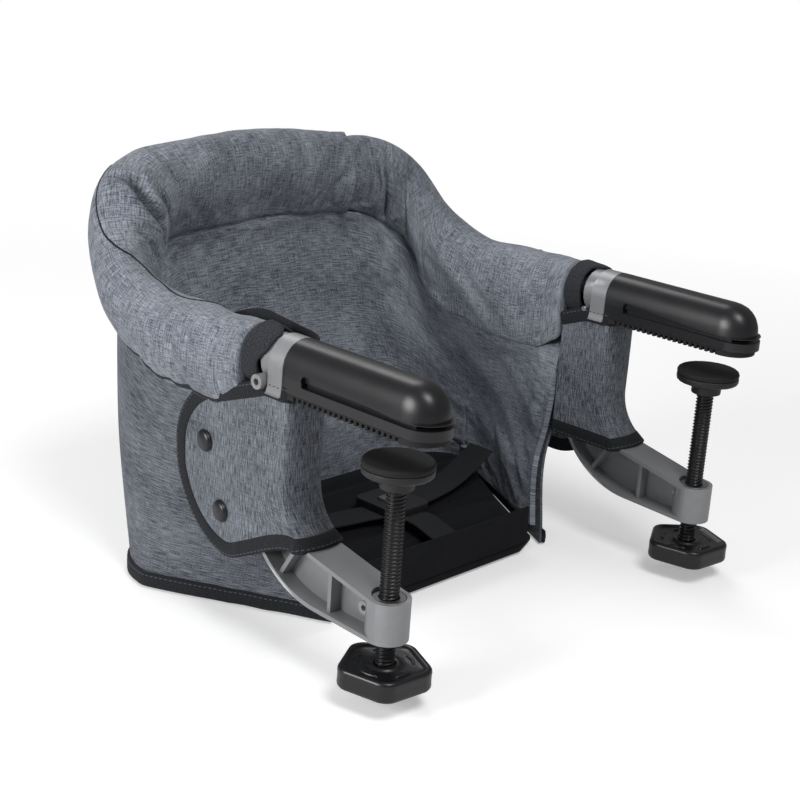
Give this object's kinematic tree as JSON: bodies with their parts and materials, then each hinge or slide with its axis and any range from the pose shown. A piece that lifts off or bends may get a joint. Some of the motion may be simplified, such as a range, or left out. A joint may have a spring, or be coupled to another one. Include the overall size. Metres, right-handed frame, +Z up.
{
  "type": "hook on table chair",
  "caption": "Fabric baby seat that hooks on a table edge: steel rim tube in a padded sleeve, rubber grips above, swinging cast C-clamp arms with screw knobs below.",
  "frame": {"origin": "midway between the two clamp arms, on the table edge, on the top surface of the table that the grips rest on", "axes": "+Z up; +Y from the table edge out to the back of the seat; +X to the seated child's left"},
  "size_m": [0.3896, 0.3776, 0.297],
  "materials": {
    "frame_steel": "powder-coated steel tube, hidden inside the sleeve and the grips",
    "linen_fabric": "mid grey-blue woven linen-look polyester with pale and dark slubs, padded on the inside",
    "black_fabric": "black woven polyester over padding, matte",
    "black_tape": "black grosgrain binding, matte with fine ribs",
    "black_webbing": "black woven webbing, matte",
    "black_plastic": "black moulded plastic, fine matte grain",
    "grey_plastic": "dark grey moulded plastic push button",
    "grip_plastic": "black moulded grip shell, smooth satin",
    "grip_rubber": "black toothed rubber sole, dull",
    "cast_alloy": "silver-grey powder-coated die casting, satin",
    "pin_steel": "plain steel pin",
    "insert_steel": "turned steel bush with an internal thread",
    "pad_rubber": "black rubber facing, dull",
    "screw_steel": "black oxide threaded steel rod, satin",
    "knob_plastic": "black moulded plastic hand knob, fine matte grain",
    "snap_plastic": "black domed snap fastener, slightly glossy"
  },
  "bodies": {
    "seat": {"frame_tube": "frame_steel", "rim_sleeve": "linen_fabric", "outer_shell": "linen_fabric", "inner_lining": "linen_fabric", "seat_board": "black_fabric", "seat_cushion": "black_fabric", "bottom_binding": "black_tape", "front_apron": "black_fabric", "crotch_strap": "black_webbing", "buckle_body": "black_plastic", "right_grip_cover": "grip_plastic", "right_grip_sole": "grip_rubber", "right_tube_cuff": "black_webbing", "right_side_flap": "linen_fabric", "right_upper_snap": "snap_plastic", "right_lower_snap": "snap_plastic", "right_lap_strap": "black_webbing", "left_grip_cover": "grip_plastic", "left_grip_sole": "grip_rubber", "left_tube_cuff": "black_webbing", "left_side_flap": "linen_fabric", "left_upper_snap": "snap_plastic", "left_lower_snap": "snap_plastic", "left_lap_strap": "black_webbing"},
    "harness_button": {"buckle_button": "grey_plastic"},
    "right_arm": {"right_clamp_arm": "cast_alloy", "right_collar_pin": "pin_steel", "right_screw_insert": "insert_steel", "right_insert_pin": "pin_steel"},
    "right_pad": {"right_pad_facing": "pad_rubber", "right_pad_plate": "black_plastic"},
    "right_screw": {"right_clamp_screw": "screw_steel", "right_screw_knob": "knob_plastic"},
    "left_arm": {"left_clamp_arm": "cast_alloy", "left_collar_pin": "pin_steel", "left_screw_insert": "insert_steel", "left_insert_pin": "pin_steel"},
    "left_pad": {"left_pad_facing": "pad_rubber", "left_pad_plate": "black_plastic"},
    "left_screw": {"left_clamp_screw": "screw_steel", "left_screw_knob": "knob_plastic"}
  },
  "joints": [
    {"name": "right_arm_fold", "type": "hinge", "parent": "seat", "child": "right_arm", "pos_m": [-0.165, 0.019, 0.0185], "axis": [0, 1, 0], "range_deg": [-90, 0], "deforming": ["right_side_flap"]},
    {"name": "right_clamp_feed", "type": "slide", "parent": "right_arm", "child": "right_pad", "axis": [0, 0, 1], "range_m": [-0.0705, 0.0102]},
    {"name": "right_screw_turn", "type": "hinge", "parent": "right_pad", "child": "right_screw", "pos_m": [-0.165, -0.08, -0.12], "axis": [0, 0, 1], "range_deg": [-10080, 1440]},
    {"name": "left_arm_fold", "type": "hinge", "parent": "seat", "child": "left_arm", "pos_m": [0.165, 0.019, 0.0185], "axis": [0, 1, 0], "range_deg": [0, 90], "deforming": ["left_side_flap"]},
    {"name": "left_clamp_feed", "type": "slide", "parent": "left_arm", "child": "left_pad", "axis": [0, 0, 1], "range_m": [-0.0705, 0.0102]},
    {"name": "left_screw_turn", "type": "hinge", "parent": "left_pad", "child": "left_screw", "pos_m": [0.165, -0.08, -0.12], "axis": [0, 0, 1], "range_deg": [-10080, 1440]},
    {"name": "buckle_press", "type": "slide", "parent": "seat", "child": "harness_button", "axis": [0, 0, 1], "range_m": [-0.0025, 0], "stiffness_N_per_m": 800}
  ],
  "couplings": [
    {"joint": "right_clamp_feed", "follows": "right_screw_turn", "m_per_rad": 0.00039789},
    {"joint": "left_clamp_feed", "follows": "left_screw_turn", "m_per_rad": 0.00039789}
  ]
}
